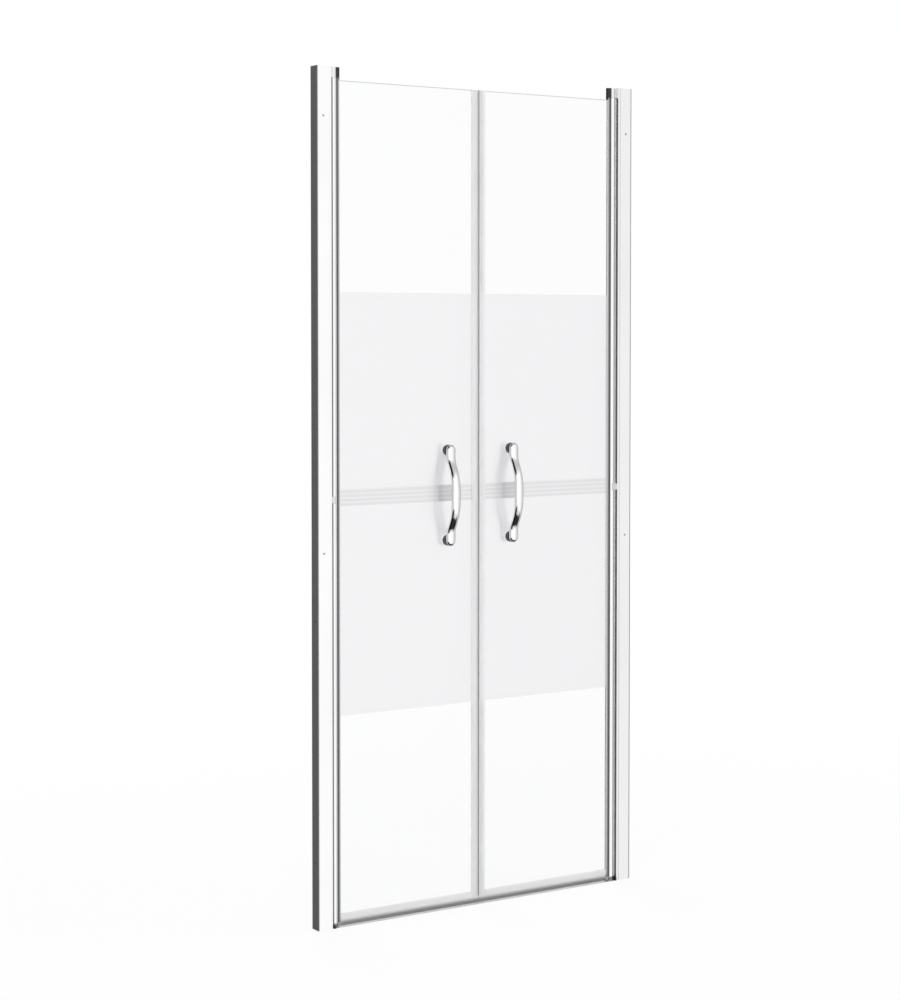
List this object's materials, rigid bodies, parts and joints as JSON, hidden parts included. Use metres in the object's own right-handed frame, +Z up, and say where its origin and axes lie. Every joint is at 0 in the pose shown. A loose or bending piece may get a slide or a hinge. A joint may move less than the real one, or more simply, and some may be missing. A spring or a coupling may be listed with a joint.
{
  "type": "shower door",
  "caption": "Double leaf swing door for a shower niche: framed jambs, half frosted glass leaves that turn in and out, magnetic meeting seal, bow handles.",
  "frame": {"origin": "middle of the door's footprint, on the plane of the shower tray, in the glass's middle plane", "axes": "+Z up, +X along the door to the right as seen from outside, +Y into the shower"},
  "size_m": [0.86, 0.095, 1.9],
  "materials": {
    "polished_aluminium": "polished",
    "bright_zinc": "satin",
    "steel": "bright",
    "chrome": "mirror",
    "black_plastic": "moulded",
    "white_nylon": "moulded",
    "grey_pvc": "soft",
    "dark_pvc": "soft",
    "clear_pvc": "translucent",
    "magnet": "matt",
    "glass": "clear toughened glass with a frosted band",
    "threshold_aluminium": "polished"
  },
  "bodies": {
    "frame": {"left_wall_profile": "polished_aluminium", "left_frame_profile": "polished_aluminium", "left_fixing_screws": "steel", "left_top_bracket": "bright_zinc", "left_middle_knuckle": "bright_zinc", "left_foot": "black_plastic", "left_gap_seals": "grey_pvc", "right_wall_profile": "polished_aluminium", "right_frame_profile": "polished_aluminium", "right_fixing_screws": "steel", "right_top_bracket": "bright_zinc", "right_middle_knuckle": "bright_zinc", "right_foot": "black_plastic", "right_gap_seals": "grey_pvc", "threshold": "threshold_aluminium"},
    "left_leaf": {"left_leaf_profile": "polished_aluminium", "left_top_pivot": "white_nylon", "left_top_cap": "black_plastic", "left_middle_pin": "steel", "left_middle_bushes": "white_nylon", "left_bottom_pivot": "black_plastic", "left_glazing_gaskets": "dark_pvc", "left_glass": "glass", "left_magnetic_seal": "clear_pvc", "left_magnet": "magnet", "left_bottom_seal": "clear_pvc", "left_outer_handle": "chrome", "left_inner_handle": "chrome", "left_handle_studs": "steel", "left_handle_bushes": "white_nylon"},
    "right_leaf": {"right_leaf_profile": "polished_aluminium", "right_top_pivot": "white_nylon", "right_top_cap": "black_plastic", "right_middle_pin": "steel", "right_middle_bushes": "white_nylon", "right_bottom_pivot": "black_plastic", "right_glazing_gaskets": "dark_pvc", "right_glass": "glass", "right_magnetic_seal": "clear_pvc", "right_magnet": "magnet", "right_bottom_seal": "clear_pvc", "right_outer_handle": "chrome", "right_inner_handle": "chrome", "right_handle_studs": "steel", "right_handle_bushes": "white_nylon"}
  },
  "joints": [
    {"name": "left_leaf_hinge", "type": "hinge", "parent": "frame", "child": "left_leaf", "pos_m": [-0.382, 0, 0.95], "axis": [0, 0, 1], "range_deg": [-90, 90]},
    {"name": "right_leaf_hinge", "type": "hinge", "parent": "frame", "child": "right_leaf", "pos_m": [0.382, 0, 0.95], "axis": [0, 0, -1], "range_deg": [-90, 90]}
  ]
}
